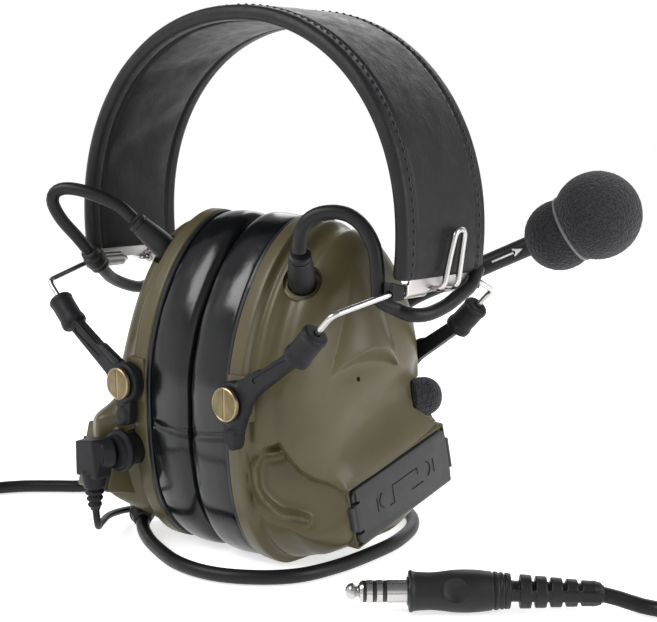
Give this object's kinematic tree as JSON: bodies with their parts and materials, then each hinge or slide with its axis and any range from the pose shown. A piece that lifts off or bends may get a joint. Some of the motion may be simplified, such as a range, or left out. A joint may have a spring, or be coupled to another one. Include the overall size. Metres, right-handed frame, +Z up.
{
  "type": "radio headset",
  "caption": "Two-cup radio headset on a sprung padded headband, with boom microphone, wire yokes, battery doors and a plug lead.",
  "frame": {"origin": "on the floor, under the middle of the headset's box without its free lead", "axes": "+X from the wearer's left ear to the right ear, +Y to the wearer's front, +Z up"},
  "size_m": [0.301, 0.2484, 0.1936],
  "materials": {
    "olive_shell": "satin olive-brown moulded plastic",
    "black_plastic": "satin black moulded plastic",
    "gloss_plastic": "smooth black plastic",
    "cushion_skin": "glossy black vinyl skin over foam",
    "band_leather": "black synthetic leather with dark stitching",
    "foam": "fine open-cell charcoal foam",
    "cable_rubber": "matte black cable jacket",
    "rubber": "matte black rubber",
    "steel": "bright nickel-plated steel",
    "brass": "aged brass-coloured slotted heads",
    "board": "green circuit board",
    "battery_can": "plain cell can, no print"
  },
  "bodies": {
    "cup_left": {"cup_shell_left": "olive_shell", "ear_cushion_left": "cushion_skin", "baffle_left": "black_plastic", "foam_liner_left": "foam", "speaker_left": "black_plastic", "mic_foam_left": "foam", "top_gland_left": "rubber", "battery_left": "battery_can", "battery_contacts_left": "steel", "pivot_screw_rear_left": "brass", "pivot_screw_front_left": "brass", "boom_mount": "black_plastic", "mic_socket": "black_plastic", "mic_plug": "black_plastic", "mic_lead": "cable_rubber", "downlead_gland": "rubber", "downlead_near": "cable_rubber", "downlead_coil": "cable_rubber", "downlead_far": "cable_rubber", "plug_pin": "steel", "plug_handle": "gloss_plastic", "plug_boot": "rubber"},
    "arms_left": {"arm_rear_left": "black_plastic", "arm_front_left": "black_plastic"},
    "band_left": {"band_pad_left": "band_leather", "band_spring_left": "steel", "yoke_left": "steel", "cable_clip_rear_left": "black_plastic", "cable_clip_front_left": "black_plastic", "audio_cable_left": "cable_rubber"},
    "crown": {"band_pad_top": "band_leather", "band_spring_top": "steel"},
    "band_right": {"band_pad_right": "band_leather", "band_spring_right": "steel", "yoke_right": "steel", "cable_clip_rear_right": "black_plastic", "cable_clip_front_right": "black_plastic", "audio_cable_right": "cable_rubber"},
    "arms_right": {"arm_rear_right": "black_plastic", "arm_front_right": "black_plastic"},
    "cup_right": {"cup_shell_right": "olive_shell", "ear_cushion_right": "cushion_skin", "baffle_right": "black_plastic", "foam_liner_right": "foam", "speaker_right": "black_plastic", "mic_foam_right": "foam", "top_gland_right": "rubber", "battery_right": "battery_can", "battery_contacts_right": "steel", "pivot_screw_rear_right": "brass", "pivot_screw_front_right": "brass", "circuit_board": "board"},
    "boom": {"boom_tube": "black_plastic", "mic_capsule": "black_plastic", "windscreen": "foam"},
    "door_left": {"battery_door_left": "black_plastic"},
    "door_right": {"battery_door_right": "black_plastic"},
    "key_up": {"button_up": "rubber"},
    "key_power": {"button_power": "rubber"},
    "key_down": {"button_down": "rubber"}
  },
  "joints": [
    {"name": "tilt_left", "type": "hinge", "parent": "cup_left", "child": "arms_left", "pos_m": [-0.039, -0.025, 0.062], "axis": [0, -1, 0], "range_deg": [0, 7], "deforming": ["audio_cable_left"]},
    {"name": "height_left", "type": "slide", "parent": "arms_left", "child": "band_left", "axis": [0.7071, 0, -0.7071], "range_m": [0, 0.004], "deforming": ["audio_cable_left"]},
    {"name": "flex_left", "type": "hinge", "parent": "band_left", "child": "crown", "pos_m": [-0.05891, -0.025, 0.17828], "axis": [0, -1, 0], "range_deg": [0, 14], "stiffness_Nm_per_rad": 2, "springref_deg": -8.59},
    {"name": "flex_right", "type": "hinge", "parent": "crown", "child": "band_right", "pos_m": [0.04091, -0.025, 0.17828], "axis": [0, -1, 0], "range_deg": [0, 14], "stiffness_Nm_per_rad": 2, "springref_deg": -8.59},
    {"name": "height_right", "type": "slide", "parent": "band_right", "child": "arms_right", "axis": [0.7071, 0, 0.7071], "range_m": [0, 0.004], "deforming": ["audio_cable_right"]},
    {"name": "tilt_right", "type": "hinge", "parent": "arms_right", "child": "cup_right", "pos_m": [0.015, -0.025, 0.062], "axis": [0, -1, 0], "range_deg": [-35, 0], "deforming": ["audio_cable_right"]},
    {"name": "boom_swivel", "type": "hinge", "parent": "cup_left", "child": "boom", "pos_m": [-0.0274, 0.022, 0.034], "axis": [1, 0, 0], "range_deg": [-70, 10]},
    {"name": "door_left_hinge", "type": "hinge", "parent": "cup_left", "child": "door_left", "pos_m": [-0.064, -0.06846, 0.03257], "axis": [0, 0.247, 0.969], "range_deg": [0, 100]},
    {"name": "door_right_hinge", "type": "hinge", "parent": "cup_right", "child": "door_right", "pos_m": [0.04, 0.01846, 0.03257], "axis": [0, -0.247, 0.969], "range_deg": [0, 100]},
    {"name": "press_up", "type": "slide", "parent": "cup_right", "child": "key_up", "axis": [0, -1, 0], "range_m": [0, 0.0012], "stiffness_N_per_m": 400, "springref_m": -0.0005},
    {"name": "press_power", "type": "slide", "parent": "cup_right", "child": "key_power", "axis": [0, -1, 0], "range_m": [0, 0.0012], "stiffness_N_per_m": 400, "springref_m": -0.0005},
    {"name": "press_down", "type": "slide", "parent": "cup_right", "child": "key_down", "axis": [0, -1, 0], "range_m": [0, 0.0012], "stiffness_N_per_m": 400, "springref_m": -0.0005}
  ],
  "couplings": [
    {"joint": "flex_left", "follows": "flex_right", "ratio": 1},
    {"joint": "tilt_left", "follows": "flex_right", "ratio": 0.5},
    {"joint": "tilt_right", "follows": "flex_right", "ratio": -2.5},
    {"joint": "height_left", "follows": "height_right", "ratio": 1}
  ]
}
